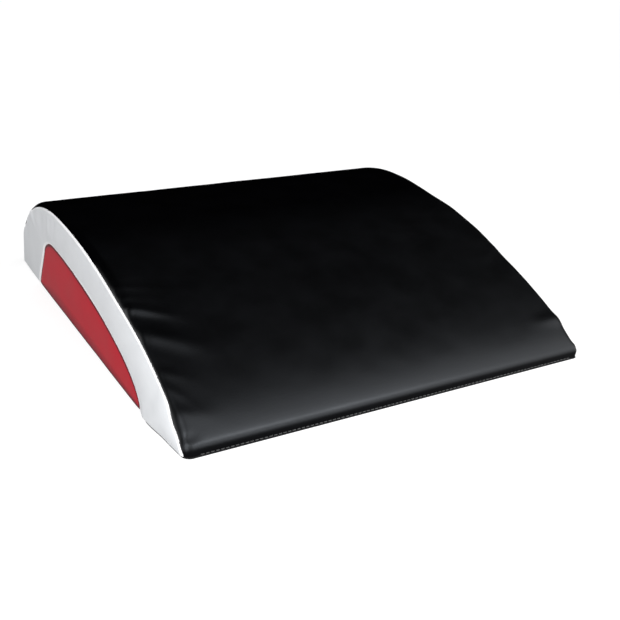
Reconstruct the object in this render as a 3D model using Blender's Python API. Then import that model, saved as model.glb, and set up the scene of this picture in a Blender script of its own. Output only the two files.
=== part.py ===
"""Ab mat: a block of dense foam with a long crown, in a sewn cover that closes with a zip low on the back.

Lengths are in metres and angles in radians. The row frame has +X to the right, +Y from the front edge to
the back and +Z up, with the origin on the floor under the middle of the mat. Outlines of the side view are
worked out as (y, z) pairs with y counted from the front edge, and moved to the frame at the end.
"""

import math

import bmesh
import bpy
from mathutils import Matrix, Vector

# Whole mat
WIDTH = 0.3184
DEPTH = 0.370
CREST_HEIGHT = 0.0833
CREST_SETBACK = 0.243

# Sides: taper to the back, lean to the top over the front stretch, and draw at the front corners.
# The shares are of the depth, and LEAN_FOOT_SHARE is of the crown's height there.
BACK_TAPER = 0.0045
TAPER_START_SHARE = 0.135
TOP_LEAN = 0.0061
LEAN_FULL_SHARE = 0.16
LEAN_END_SHARE = 0.65
LEAN_FOOT_SHARE = 0.15
LOW_EDGE = 0.016
CORNER_DRAW = 0.0025
CORNER_RUN = 0.045

# Front edge
FRONT_RISE = 0.009
FRONT_ROLL = 0.005
FRONT_SLOPE = math.radians(49.7)
ROLL_UNDER = math.radians(20)
FACE_RECESS = 0.0008
FACE_BAND = 0.0015

# Curves of the crown, as shares of the stretch that each one spans
FRONT_PULL_SHARE = 0.139
CREST_FRONT_SHARE = 0.408
CREST_BACK_SHARE = 0.497
WALL_PULL_SHARE = 0.139

# Back wall, which leans forward
WALL_LEAN = math.radians(15)

# Shoulders, where the cover turns down to the side seams: radii, and shares of the outline's length
SHOULDER_FRONT = 0.0038
SHOULDER = 0.0050
BACK_SHOULDER = 0.0028
SHOULDER_CREST_SHARE = 0.63
SHOULDER_BACK_SHARE = 0.77

# Front corners, where the seam rises from behind the face to the shoulder
FRONT_TURN = 0.0054
FRONT_TURN_RUN = 0.022
TURN_PULL_SHARE = 0.35
TURN_LEAN_SHARE = 0.15

# Fabrics and gaps
SKIN = 0.0012
BASE_THICKNESS = 0.0010
CLEARANCE = 0.0003
FOAM_CLEARANCE = 0.0005

# Red inset of each side panel: its outline as shares of the depth and of the crest's height
INSET_TIP_SHARE = 0.175
INSET_RISE_SHARES = (0.175, 0.348)
INSET_CREST_PULL_SHARES = (0.540, 0.585)
INSET_CREST_SHARES = (0.694, 0.585)
INSET_CORNER_SHARES = ((0.731, 0.585), (0.775, 0.502), (0.775, 0.416))
INSET_BACK_SHARE = 0.817

# Zip: chain along the wall, teeth on two tapes, slider and pull
TOOTH_REACH = 0.0030
TOOTH_GAP = 0.0005
TOOTH_LENGTH = 0.0018
TOOTH_PITCH = 0.0030
TOOTH_BEAD = 0.0007
CHAIN_THICKNESS = 0.0024
SLOT_MARGIN = 0.0297
TAPE_WIDTH = 0.010
TAPE_THICKNESS = 0.0006
TAPE_TAIL = 0.008
TAPE_HEM = 0.0019
STOP_LENGTH = 0.0035
END_ROOM = 0.003
SLIDER_LENGTH = 0.011
SLIDER_PLATE = 0.0010
SLIDER_LIP = 0.0009
SLIDER_WEB = 0.0004
SLIDER_NOSE_SHARE = 0.62
EDGE_ROOM = 0.0017
BAIL_LENGTH = 0.0070
BAIL_WIDTH = 0.0016
BAIL_WALL = 0.0008
PULL_LENGTH = 0.024
PULL_WIDTH = 0.0070
PULL_NECK_SHARE = 0.72
PULL_THICKNESS = 0.0010
PULL_BAR = 0.0009
PULL_EYE_ROOM = 0.0004
PULL_TURN_ROOM = 0.0003
OVERRUN = 0.0002
WELD = 0.000002
SMOOTH_ANGLE = math.radians(40)

# Thread
STITCH_PITCH = 0.0032
STITCH_LENGTH = 0.0022
STITCH_WIDTH = 0.0006
STITCH_THICKNESS = 0.0003
STITCH_LINK = 0.0002
FRONT_STITCH_MARGIN = 0.009
ZIP_STITCH_SETBACK = 0.0022
SIDE_STITCH_RUN = 0.125
SIDE_STITCH_START = 0.006

# Segments of each curve
ROLL_STEPS = 4
CROWN_STEPS = 14
BACK_STEPS = 8
SHOULDER_STEPS = 4
SIDE_STEPS = 6
INSET_FRONT_STEPS = 12
INSET_CORNER_STEPS = 4
INSET_BACK_STEPS = 4

# Sizes that follow from those above
FLOOR_TOP = BASE_THICKNESS + CLEARANCE
FOAM_DEPTH = SKIN + FOAM_CLEARANCE
LEAN_SIN = math.sin(WALL_LEAN)
LEAN_COS = math.cos(WALL_LEAN)
WALL_FOOT = (FLOOR_TOP + SKIN * LEAN_SIN) / LEAN_COS
ZIP_RISE = BASE_THICKNESS + TAPE_HEM + TAPE_WIDTH + CLEARANCE + TOOTH_REACH
WALL_RISE = ZIP_RISE + TOOTH_REACH + CLEARANCE + TAPE_WIDTH + 2 * CLEARANCE
SLIDER_HALF_WIDTH = TOOTH_REACH + CLEARANCE + SLIDER_LIP
SLOT_HALF_WIDTH = SLIDER_HALF_WIDTH + EDGE_ROOM
SLOT_HALF_LENGTH = WIDTH / 2 - SLOT_MARGIN
CHAIN_LENGTH = 2 * (SLOT_HALF_LENGTH - STOP_LENGTH - END_ROOM)
TAPE_OUTER = -SKIN - CLEARANCE
TAPE_MIDDLE = TAPE_OUTER - TAPE_THICKNESS / 2
TAPE_INNER = TAPE_OUTER - TAPE_THICKNESS
CHAIN_OUTER = TAPE_MIDDLE + CHAIN_THICKNESS / 2
CHAIN_INNER = TAPE_MIDDLE - CHAIN_THICKNESS / 2
SLIDER_TRAVEL = CHAIN_LENGTH - SLIDER_LENGTH
PLATE_OUTER = CHAIN_OUTER + CLEARANCE + SLIDER_PLATE
PULL_SWING = math.hypot(PULL_BAR, PULL_THICKNESS) / 2 + PULL_TURN_ROOM
PIVOT_OUT = PLATE_OUTER + PULL_SWING
CREST = (CREST_SETBACK, CREST_HEIGHT)

BLACK = (0.012, 0.012, 0.014, 1.0)
BASE_BLACK = (0.020, 0.020, 0.022, 1.0)
PALE_GREY = (0.66, 0.67, 0.69, 1.0)
RED = (0.42, 0.018, 0.030, 1.0)
FOAM = (0.60, 0.58, 0.50, 1.0)
THREAD_GREY = (0.30, 0.30, 0.31, 1.0)
THREAD_BLACK = (0.030, 0.030, 0.032, 1.0)
TAPE_BLACK = (0.018, 0.018, 0.020, 1.0)
TOOTH_BLACK = (0.025, 0.025, 0.028, 1.0)
METAL = (0.045, 0.045, 0.050, 1.0)


def bezier_point(corners, t):
    """Point of a cubic curve, given by its ends and pulls, at a share of its run."""
    weights = ((1 - t) ** 3, 3 * t * (1 - t) ** 2, 3 * t * t * (1 - t), t ** 3)
    return tuple(sum(w * c[axis] for w, c in zip(weights, corners)) for axis in (0, 1))


def bezier(start, start_pull, end_pull, end, steps):
    """Points of a cubic curve, its first point left out."""
    return [bezier_point((start, start_pull, end_pull, end), step / steps) for step in range(1, steps + 1)]


def blend(start, end, share):
    """Point between two (y, z) points."""
    return tuple(a + (b - a) * share for a, b in zip(start, end))


def ramp(value, first, last):
    """Share of the way from first to last, kept between 0 and 1."""
    return min(1.0, max(0.0, (value - first) / (last - first)))


def wall_station(rise):
    """Point of the leaning back wall at a distance up from the floor."""
    return (DEPTH - rise * LEAN_SIN, rise * LEAN_COS)


def outline():
    """Side view of the cover's outer face, from the front foot over the crest to the back foot."""
    points = [(FACE_RECESS, FLOOR_TOP), (FACE_RECESS, FLOOR_TOP + FACE_BAND)]
    roll_centre = FRONT_RISE - FRONT_ROLL * math.cos(FRONT_SLOPE)
    first = math.pi + ROLL_UNDER
    last = math.pi / 2 + FRONT_SLOPE
    for step in range(ROLL_STEPS + 1):
        angle = first + (last - first) * step / ROLL_STEPS
        points.append((FRONT_ROLL + FRONT_ROLL * math.cos(angle), roll_centre + FRONT_ROLL * math.sin(angle)))
    start = points[-1]
    pull = FRONT_PULL_SHARE * CREST_SETBACK
    rise = (start[0] + pull * math.cos(FRONT_SLOPE), start[1] + pull * math.sin(FRONT_SLOPE))
    points += bezier(start, rise, (CREST[0] - CREST_FRONT_SHARE * CREST_SETBACK, CREST[1]), CREST, CROWN_STEPS)
    top = wall_station(WALL_RISE)
    pull = WALL_PULL_SHARE * CREST_HEIGHT
    over = (CREST[0] + CREST_BACK_SHARE * (DEPTH - CREST_SETBACK), CREST[1])
    points += bezier(CREST, over, (top[0] - pull * LEAN_SIN, top[1] + pull * LEAN_COS), top, BACK_STEPS)
    points += [wall_station(ZIP_RISE + SLOT_HALF_WIDTH), wall_station(ZIP_RISE), wall_station(WALL_FOOT)]
    return points


def outward(points):
    """Outward normals of an open outline that runs front, top, back."""
    normals = []
    for i in range(len(points)):
        before = points[max(i - 1, 0)]
        after = points[min(i + 1, len(points) - 1)]
        run = Vector((after[0] - before[0], after[1] - before[1])).normalized()
        normals.append((-run.y, run.x))
    return normals


def shares_along(points):
    """Share of the whole length at each point of an outline."""
    lengths = [0.0]
    for before, after in zip(points, points[1:]):
        lengths.append(lengths[-1] + math.dist(before, after))
    return [length / lengths[-1] for length in lengths]


def shoulder_radius(share):
    """Radius of the cover's turn: it grows up to the crest and is tight on the way down the back."""
    grown = SHOULDER_FRONT + (SHOULDER - SHOULDER_FRONT) * ramp(share, 0.0, SHOULDER_CREST_SHARE)
    return grown - (SHOULDER - BACK_SHOULDER) * ramp(share, SHOULDER_CREST_SHARE, SHOULDER_BACK_SHARE)


STATIONS = outline()
NORMALS = outward(STATIONS)
STATION_SHARES = shares_along(STATIONS)
CROWN = STATIONS[ROLL_STEPS + 2:ROLL_STEPS + CROWN_STEPS + 3]


def inward(i, distance):
    """Point of a station moved in from the outer face, kept above the base panel."""
    y = STATIONS[i][0] - NORMALS[i][0] * distance
    z = STATIONS[i][1] - NORMALS[i][1] * distance
    return (y, max(z, FLOOR_TOP))


def seam_points():
    """Side seam at each station: a curve up the front corner, then the radius in from the outer face."""
    length = sum(math.dist(a, b) for a, b in zip(STATIONS, STATIONS[1:]))
    seam = [inward(i, shoulder_radius(share)) for i, share in enumerate(STATION_SHARES)]
    join = next(i for i, share in enumerate(STATION_SHARES) if share * length >= FRONT_TURN_RUN)
    foot, top = (FACE_RECESS + FRONT_TURN, FLOOR_TOP), seam[join]
    pull = TURN_PULL_SHARE * math.dist(foot, top)
    rise = (foot[0] + TURN_LEAN_SHARE * pull, foot[1] + pull)
    back = blend(top, seam[join + 1], -pull / math.dist(top, seam[join + 1]))
    turn = [bezier_point((foot, rise, back, top), share / STATION_SHARES[join]) for share in STATION_SHARES[:join]]
    return turn + seam[join:]


SEAM = seam_points()
RADII = [math.dist(station, seam) for station, seam in zip(STATIONS, SEAM)]


def past_seam(i, distance):
    """Point of a side at a distance past the seam."""
    y, z = blend(STATIONS[i], SEAM[i], 1 + distance / RADII[i])
    return (y, max(z, FLOOR_TOP))


def crown_height(y):
    """Height of the crown's outer face at a distance from the front edge, as far as the crest."""
    for before, after in zip(CROWN, CROWN[1:]):
        if y <= after[0]:
            return blend(before, after, (y - before[0]) / (after[0] - before[0]))[1]
    return CREST_HEIGHT


def half_width(y, z):
    """Half width of the sides, with their taper, lean and draw."""
    taper = BACK_TAPER * ramp(y / DEPTH, TAPER_START_SHARE, 1.0)
    lean = TOP_LEAN * (1 - ramp(y / DEPTH, LEAN_FULL_SHARE, LEAN_END_SHARE))
    rise = max(0.0, (z / max(crown_height(y), LOW_EDGE) - LEAN_FOOT_SHARE) / (1 - LEAN_FOOT_SHARE))
    draw = CORNER_DRAW * max(0.0, 1 - y / CORNER_RUN) ** 2
    return WIDTH / 2 - taper - lean * rise ** 2 - draw


def in_frame(x, y, z):
    """Vector in the row frame of a point whose y is counted from the front edge."""
    return Vector((x, y - DEPTH / 2, z))


def shoulder_point(i, turn, side, depth):
    """Point on a shoulder, depth below its outer face: turn 0 is at the seam, a quarter turn on top."""
    y, z = blend(SEAM[i], inward(i, depth), math.sin(turn))
    x = half_width(*SEAM[i]) - RADII[i] + (RADII[i] - depth) * math.cos(turn)
    return in_frame(side * x, y, z)


def skin_row(i, depth):
    """One row of the cover across the mat, seam to seam, depth below the outer face."""
    turns = [math.pi / 2 * step / SHOULDER_STEPS for step in range(SHOULDER_STEPS + 1)]
    left = [shoulder_point(i, turn, -1, depth) for turn in turns]
    right = [shoulder_point(i, turn, 1, depth) for turn in reversed(turns)]
    y, z = inward(i, depth)
    middle = [in_frame(x, y, z) for x in (-SLOT_HALF_LENGTH, 0.0, SLOT_HALF_LENGTH)]
    return left + middle + right


def side_point(y, z, side, depth):
    """Point on a side face, depth below its outer face."""
    return in_frame(side * (half_width(y, z) - depth), y, z)


def inset_outline():
    """Edge of the red inset, from its front tip over its top to its back corner on the floor side."""
    tip = (INSET_TIP_SHARE * DEPTH, FLOOR_TOP)
    rise, pull, crest = [(DEPTH * a, CREST_HEIGHT * b)
                         for a, b in (INSET_RISE_SHARES, INSET_CREST_PULL_SHARES, INSET_CREST_SHARES)]
    corner = [(DEPTH * a, CREST_HEIGHT * b) for a, b in INSET_CORNER_SHARES]
    foot = (INSET_BACK_SHARE * DEPTH, FLOOR_TOP)
    points = [tip] + bezier(tip, rise, pull, crest, INSET_FRONT_STEPS)
    points += bezier(crest, *corner, INSET_CORNER_STEPS)
    points += [blend(corner[-1], foot, step / INSET_BACK_STEPS) for step in range(1, INSET_BACK_STEPS + 1)]
    return points


def at_share(points, shares, share):
    """Point of an outline at a share of its length."""
    for i in range(len(points) - 1):
        if share <= shares[i + 1]:
            return blend(points[i], points[i + 1], (share - shares[i]) / (shares[i + 1] - shares[i]))
    return points[-1]


def paint(name, color, roughness, metallic=0.0):
    """Principled material of one piece."""
    material = bpy.data.materials.new(name)
    material.use_nodes = True
    shader = material.node_tree.nodes["Principled BSDF"]
    shader.inputs["Base Color"].default_value = color
    shader.inputs["Roughness"].default_value = roughness
    shader.inputs["Metallic"].default_value = metallic
    material.diffuse_color = color
    return material


def add_piece(name, bm, material, place=None, smooth=True):
    """Object of one sub-part from its mesh, with its faces turned out."""
    bmesh.ops.remove_doubles(bm, verts=bm.verts, dist=WELD)
    bmesh.ops.delete(bm, geom=[v for v in bm.verts if not v.link_faces], context="VERTS")
    if bm.calc_volume(signed=True) < 0:
        bmesh.ops.reverse_faces(bm, faces=bm.faces)
    mesh = bpy.data.meshes.new(name)
    bm.to_mesh(mesh)
    bm.free()
    mesh.materials.append(material)
    if smooth:
        mesh.shade_smooth()
        mesh.set_sharp_from_angle(angle=SMOOTH_ANGLE)
    piece = bpy.data.objects.new(name, mesh)
    bpy.context.collection.objects.link(piece)
    if place is not None:
        piece.matrix_world = place
    return piece


def thick_sheet(outer, inner, hole=lambda row, column: False):
    """Closed sheet between two grids of points, without the cells that hole names."""
    bm = bmesh.new()
    top = [[bm.verts.new(point) for point in row] for row in outer]
    low = [[bm.verts.new(point) for point in row] for row in inner]
    rim = set()
    for i in range(len(outer) - 1):
        for j in range(len(outer[0]) - 1):
            if hole(i, j):
                continue
            loop = [(i, j), (i, j + 1), (i + 1, j + 1), (i + 1, j)]
            bm.faces.new([top[a][b] for a, b in loop])
            bm.faces.new([low[a][b] for a, b in reversed(loop)])
            for edge in zip(loop, loop[1:] + loop[:1]):
                if edge[::-1] in rim:
                    rim.remove(edge[::-1])
                else:
                    rim.add(edge)
    for (a, b), (c, d) in sorted(rim):
        bm.faces.new([top[c][d], top[a][b], low[a][b], low[c][d]])
    return bm


def prism(points, low, high, flat=lambda a, b, c: (a, b, c)):
    """Closed body of an outline drawn out from low to high, with flat giving each point its axes."""
    bm = bmesh.new()
    bottom = [bm.verts.new(flat(a, b, low)) for a, b in points]
    top = [bm.verts.new(flat(a, b, high)) for a, b in points]
    bm.faces.new(bottom)
    bm.faces.new(list(reversed(top)))
    for i in range(len(points)):
        j = (i + 1) % len(points)
        bm.faces.new([bottom[i], top[i], top[j], bottom[j]])
    return bm


def add_box(bm, low, high, place=None):
    """Box between two corners, put into a mesh."""
    size = [b - a for a, b in zip(low, high)]
    centre = Vector([(a + b) / 2 for a, b in zip(low, high)])
    local = Matrix.Translation(centre) @ Matrix.Diagonal((*size, 1.0))
    bmesh.ops.create_cube(bm, size=1.0, matrix=local if place is None else place @ local)


def cut(piece, cutter):
    """Boolean difference, with the cutter kept out of sight."""
    cutter.hide_render = True
    cutter.display_type = "WIRE"
    change = piece.modifiers.new(cutter.name, "BOOLEAN")
    change.operation = "DIFFERENCE"
    change.object = cutter


def wall_frame(along=0.0, up=0.0, out=0.0):
    """Placement on the back wall: x to the right seen from behind, y up the wall, z out of it."""
    turn = Matrix(((-1, 0, 0, 0), (0, -LEAN_SIN, LEAN_COS, 0), (0, LEAN_COS, LEAN_SIN, 0), (0, 0, 0, 1)))
    return Matrix.Translation((0, DEPTH / 2, 0)) @ turn @ Matrix.Translation((along, up, out))


def wall_box(name, low, high, material):
    """Box given by two corners in the wall's frame."""
    bm = bmesh.new()
    add_box(bm, low, high)
    return add_piece(name, bm, material, wall_frame(), smooth=False)


def stitch_wave(reach):
    """Side view of a straight row of stitches: flat tops, and a dip where the thread goes down."""
    count = int(2 * reach / STITCH_PITCH)
    first = -(count - 1) * STITCH_PITCH / 2
    top = STITCH_LINK + STITCH_THICKNESS
    wave = []
    for index in range(count):
        middle = first + index * STITCH_PITCH
        wave += [(middle - STITCH_PITCH / 2, STITCH_LINK), (middle - STITCH_LENGTH / 2, top),
                 (middle + STITCH_LENGTH / 2, top)]
    end = first + (count - 0.5) * STITCH_PITCH
    return wave + [(end, STITCH_LINK), (end, 0.0), (-end, 0.0)]


def make_foam():
    """Foam block: crown and shoulders under the cover, sides under the panels, relief behind the zip."""
    rows = []
    for i, share in enumerate(STATION_SHARES):
        foot = (blend(SEAM[0], SEAM[-1], share)[0], FLOOR_TOP)
        sides = [blend(SEAM[i], foot, step / SIDE_STEPS) for step in range(1, SIDE_STEPS + 1)]
        left = [side_point(y, z, -1, FOAM_DEPTH) for y, z in reversed(sides)]
        right = [side_point(y, z, 1, FOAM_DEPTH) for y, z in sides]
        rows.append(left + skin_row(i, FOAM_DEPTH) + right)
    bm = bmesh.new()
    rings = [[bm.verts.new(point) for point in row] for row in rows]
    count = len(rings[0])
    for before, after in zip(rings, rings[1:]):
        for j in range(count):
            k = (j + 1) % count
            bm.faces.new([before[j], before[k], after[k], after[j]])
    bm.faces.new(list(reversed(rings[0])))
    bm.faces.new(rings[-1])
    foam = add_piece("foam_core", bm, paint("foam", FOAM, 0.95))
    bed = TAPE_INNER - CLEARANCE
    tape_length = SLOT_HALF_LENGTH + TAPE_TAIL + CLEARANCE
    pocket = CHAIN_INNER - CLEARANCE - SLIDER_PLATE - 2 * CLEARANCE
    tape_foot = ZIP_RISE - TOOTH_REACH - TAPE_WIDTH - 3 * CLEARANCE
    material = foam.data.materials[0]
    cut(foam, wall_box("tape_relief", (-tape_length, tape_foot, bed), (tape_length, WALL_RISE, SKIN), material))
    cut(foam, wall_box("chain_relief", (-SLOT_HALF_LENGTH, ZIP_RISE - SLOT_HALF_WIDTH, pocket),
                       (SLOT_HALF_LENGTH, ZIP_RISE + SLOT_HALF_WIDTH, SKIN), material))


def make_cover():
    """Black cover: front face, crown, back wall and both shoulders, open at the back for the zip."""
    outer = [skin_row(i, 0.0) for i in range(len(STATIONS))]
    inner = [skin_row(i, SKIN) for i in range(len(STATIONS))]
    slot_row = len(STATIONS) - 3
    first_column = SHOULDER_STEPS + 1

    def in_slot(row, column):
        return row >= slot_row and first_column <= column < first_column + 2

    add_piece("top_cover", thick_sheet(outer, inner, in_slot), paint("cover", BLACK, 0.42))


def side_sheet(name, side, rows, material):
    """Panel of a side face, from the two (y, z) ends of each of its rows."""
    grids = []
    for depth in (0.0, SKIN):
        grid = []
        for start, end in rows:
            row = [blend(start, end, step / SIDE_STEPS) for step in range(SIDE_STEPS + 1)]
            grid.append([side_point(y, z, side, depth) for y, z in row])
        grids.append(grid)
    add_piece(name, thick_sheet(*grids), material)


def make_side(side, suffix):
    """Pale side panel, an arched band, and the red inset that fills it."""
    edge = inset_outline()
    edge_shares = shares_along(edge)
    middle = ((edge[0][0] + edge[-1][0]) / 2, FLOOR_TOP)
    band, fill = [], []
    for i, share in enumerate(STATION_SHARES):
        point = at_share(edge, edge_shares, share)
        band.append((past_seam(i, CLEARANCE), point))
        foot = blend(edge[0], edge[-1], share)
        reach = max(math.dist(foot, middle), CLEARANCE)
        fill.append((blend(point, middle, CLEARANCE / math.dist(point, middle)),
                     blend(foot, middle, CLEARANCE / reach)))
    side_sheet("side_panel_" + suffix, side, band, paint("panel_" + suffix, PALE_GREY, 0.50))
    side_sheet("side_inset_" + suffix, side, fill, paint("inset_" + suffix, RED, 0.45))


def make_base():
    """Black base panel under everything, flat on the floor."""
    count = CROWN_STEPS + BACK_STEPS
    turns = [math.pi / 2 * step / SHOULDER_STEPS for step in range(SHOULDER_STEPS + 1)]
    right = []
    for turn in turns:
        y = FACE_RECESS + FRONT_TURN * (1 - math.cos(turn))
        right.append((half_width(y, 0.0) - FRONT_TURN * (1 - math.sin(turn)), y))
    for step in range(1, count):
        y = blend((right[-1][1], 0.0), (DEPTH - BACK_SHOULDER, 0.0), 1 / (count - step + 1))[0]
        right.append((half_width(y, 0.0), y))
    for turn in reversed(turns):
        y = DEPTH - BACK_SHOULDER * (1 - math.cos(turn))
        right.append((half_width(y, 0.0) - BACK_SHOULDER * (1 - math.sin(turn)), y))
    points = right + [(-x, y) for x, y in reversed(right)]
    bm = prism([(x, y - DEPTH / 2) for x, y in points], 0.0, BASE_THICKNESS)
    add_piece("base_panel", bm, paint("base", BASE_BLACK, 0.80))


def make_rear_strip():
    """Strip of cover fabric between the base panel and the zip."""
    reach = SLOT_HALF_LENGTH - CLEARANCE
    low, high = (-reach, WALL_FOOT, -SKIN), (reach, ZIP_RISE - SLOT_HALF_WIDTH, 0.0)
    wall_box("rear_strip", low, high, paint("rear_strip", BLACK, 0.42))


def make_zip_tapes():
    """Two woven tapes behind the slot's edges."""
    reach = SLOT_HALF_LENGTH + TAPE_TAIL
    for side, name in ((1, "zip_tape_upper"), (-1, "zip_tape_lower")):
        near = ZIP_RISE + side * (TOOTH_REACH + CLEARANCE)
        far = near + side * TAPE_WIDTH
        low, high = (-reach, min(near, far), TAPE_INNER), (reach, max(near, far), TAPE_OUTER)
        wall_box(name, low, high, paint(name, TAPE_BLACK, 0.85))


def make_zip_teeth():
    """Two rows of teeth moulded on a bead, the lower row half a pitch along."""
    count = int((CHAIN_LENGTH - TOOTH_PITCH / 2) / TOOTH_PITCH)
    first = -(count - 1) * TOOTH_PITCH / 2
    reach = CHAIN_LENGTH / 2
    for side, name in ((1, "zip_teeth_upper"), (-1, "zip_teeth_lower")):
        root = TOOTH_REACH - TOOTH_BEAD
        row = [(-reach, side * TOOTH_REACH), (-reach, side * root)]
        for index in range(count):
            middle = first + side * TOOTH_PITCH / 4 + index * TOOTH_PITCH
            start, end = middle - TOOTH_LENGTH / 2, middle + TOOTH_LENGTH / 2
            row += [(start, side * root), (start, side * TOOTH_GAP), (end, side * TOOTH_GAP), (end, side * root)]
        row += [(reach, side * root), (reach, side * TOOTH_REACH)]
        bm = prism(row, CHAIN_INNER, CHAIN_OUTER)
        add_piece(name, bm, paint(name, TOOTH_BLACK, 0.45), wall_frame(0.0, ZIP_RISE), smooth=False)


def make_zip_stops():
    """Two stops past the closed end, one to each tape, and one wide stop past the open end."""
    near = CHAIN_LENGTH / 2 + CLEARANCE
    far = near + STOP_LENGTH
    low, high = ZIP_RISE - TOOTH_REACH, ZIP_RISE + TOOTH_REACH
    ends = (("zip_top_stop_upper", near, far, ZIP_RISE + TOOTH_GAP, high),
            ("zip_top_stop_lower", near, far, low, ZIP_RISE - TOOTH_GAP),
            ("zip_bottom_stop", -far, -near, low, high))
    for name, start, end, lower, upper in ends:
        wall_box(name, (start, lower, CHAIN_INNER), (end, upper, CHAIN_OUTER), paint(name, METAL, 0.35, 1.0))


def make_zip_slider():
    """Slider: two plates joined by a web, lips that reach for the tapes, and a bail for the pull."""
    half, lip, web = SLIDER_HALF_WIDTH, SLIDER_HALF_WIDTH - SLIDER_LIP, SLIDER_WEB / 2
    top, under = PLATE_OUTER, CHAIN_OUTER + CLEARANCE
    bottom, over = CHAIN_INNER - CLEARANCE - SLIDER_PLATE, CHAIN_INNER - CLEARANCE
    above, below = TAPE_OUTER + CLEARANCE, TAPE_INNER - CLEARANCE
    right = [(web, under), (lip, under), (lip, above), (half, above), (half, top)]
    left = [(-a, b) for a, b in reversed(right)]
    lower_left = [(-web, over), (-lip, over), (-lip, below), (-half, below), (-half, bottom)]
    lower_right = [(-a, b) for a, b in reversed(lower_left)]
    section = [(a, b - PIVOT_OUT) for a, b in right + left + lower_left + lower_right]
    reach = SLIDER_LENGTH / 2
    bm = prism(section, -reach, reach, flat=lambda across, out, along: (along, across, out))
    for vert in bm.verts:
        if vert.co.x < 0 and abs(vert.co.y) > half - OVERRUN:
            vert.co.y = math.copysign(lip + (half - lip) * SLIDER_NOSE_SHARE, vert.co.y)
    place = wall_frame(SLIDER_TRAVEL / 2, ZIP_RISE, PIVOT_OUT)
    slider = add_piece("zip_slider", bm, paint("zip_slider", METAL, 0.30, 1.0), place, smooth=False)

    outer, inner = BAIL_LENGTH / 2, BAIL_LENGTH / 2 - BAIL_WALL
    foot = PLATE_OUTER - PIVOT_OUT - OVERRUN
    ceiling = PULL_SWING
    ridge = ceiling + BAIL_WALL
    chamfer = BAIL_WALL
    arch = [(-outer, foot), (-outer, ridge - chamfer), (-outer + chamfer, ridge), (outer - chamfer, ridge),
            (outer, ridge - chamfer), (outer, foot), (inner, foot), (inner, ceiling), (-inner, ceiling),
            (-inner, foot)]
    bm = prism(arch, -BAIL_WIDTH / 2, BAIL_WIDTH / 2, flat=lambda along, out, across: (along, across, out))
    bail = add_piece("bail", bm, slider.data.materials[0], place, smooth=False)
    bail.hide_render = True
    bail.display_type = "WIRE"
    join = slider.modifiers.new("bail", "BOOLEAN")
    join.operation = "UNION"
    join.object = bail


def make_zip_pull():
    """Pull tab, whose end bar turns under the bail."""
    outer = math.hypot(BAIL_LENGTH / 2, PULL_SWING + BAIL_WALL) + PULL_EYE_ROOM
    half_eye = BAIL_WIDTH / 2 + PULL_EYE_ROOM
    half, bar, thick = PULL_WIDTH / 2, PULL_BAR / 2, PULL_THICKNESS / 2
    neck = half * PULL_NECK_SHARE
    plan = [(bar, -neck), (bar, neck), (-outer, neck), (-outer - half, half), (-PULL_LENGTH + half / 2, half),
            (-PULL_LENGTH, half / 2), (-PULL_LENGTH, -half / 2), (-PULL_LENGTH + half / 2, -half),
            (-outer - half, -half), (-outer, -neck)]
    place = wall_frame(SLIDER_TRAVEL / 2, ZIP_RISE, PIVOT_OUT)
    pull = add_piece("zip_pull", prism(plan, -thick, thick), paint("zip_pull", METAL, 0.30, 1.0), place, False)
    bm = bmesh.new()
    add_box(bm, (-outer, -half_eye, -2 * thick), (-bar, half_eye, 2 * thick))
    cut(pull, add_piece("pull_eye", bm, pull.data.materials[0], place, smooth=False))


def make_wall_stitches():
    """Two rows of stitches that hold the zip's tapes to the slot's edges."""
    wave = stitch_wave(SLOT_HALF_LENGTH - ZIP_STITCH_SETBACK)
    for side, name in ((1, "zip_stitch_upper"), (-1, "zip_stitch_lower")):
        up = ZIP_RISE + side * (SLOT_HALF_WIDTH + ZIP_STITCH_SETBACK)
        bm = prism(wave, up - STITCH_WIDTH / 2, up + STITCH_WIDTH / 2,
                   flat=lambda along, out, across: (along, across, out + CLEARANCE))
        add_piece(name, bm, paint(name, THREAD_BLACK, 0.7), wall_frame(), smooth=False)


def make_front_stitches():
    """Row of stitches along the foot of the front face."""
    height = FLOOR_TOP + FACE_BAND / 2
    bm = prism(stitch_wave(half_width(0.0, 0.0) - FRONT_STITCH_MARGIN), height - STITCH_WIDTH / 2,
               height + STITCH_WIDTH / 2,
               flat=lambda along, out, up: in_frame(along, FACE_RECESS - CLEARANCE - out, up))
    add_piece("front_topstitch", bm, paint("front_topstitch", THREAD_GREY, 0.7), smooth=False)


def make_side_stitches(side, suffix):
    """Stitches that show along the front stretch of a side seam."""
    seam = [past_seam(i, CLEARANCE / 2) for i in range(len(STATIONS))]
    shares = shares_along(seam)
    length = sum(math.dist(a, b) for a, b in zip(seam, seam[1:]))
    bm = bmesh.new()
    rings = []
    for along, out in stitch_wave(SIDE_STITCH_RUN / 2)[:-2]:
        distance = SIDE_STITCH_START + SIDE_STITCH_RUN / 2 + along
        y, z = at_share(seam, shares, distance / length)
        ahead = at_share(seam, shares, (distance + STITCH_LENGTH) / length)
        run = Vector((ahead[0] - y, ahead[1] - z)).normalized() * STITCH_WIDTH / 2
        corners = ((1, -CLEARANCE), (-1, -CLEARANCE), (-1, -CLEARANCE - out), (1, -CLEARANCE - out))
        rings.append([bm.verts.new(side_point(y - run.y * across, z + run.x * across, side, depth))
                      for across, depth in corners])
    for before, after in zip(rings, rings[1:]):
        for j in range(4):
            k = (j + 1) % 4
            bm.faces.new([before[j], before[k], after[k], after[j]])
    bm.faces.new(list(reversed(rings[0])))
    bm.faces.new(rings[-1])
    add_piece("side_stitch_" + suffix, bm, paint("side_stitch_" + suffix, THREAD_BLACK, 0.7), smooth=False)


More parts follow.
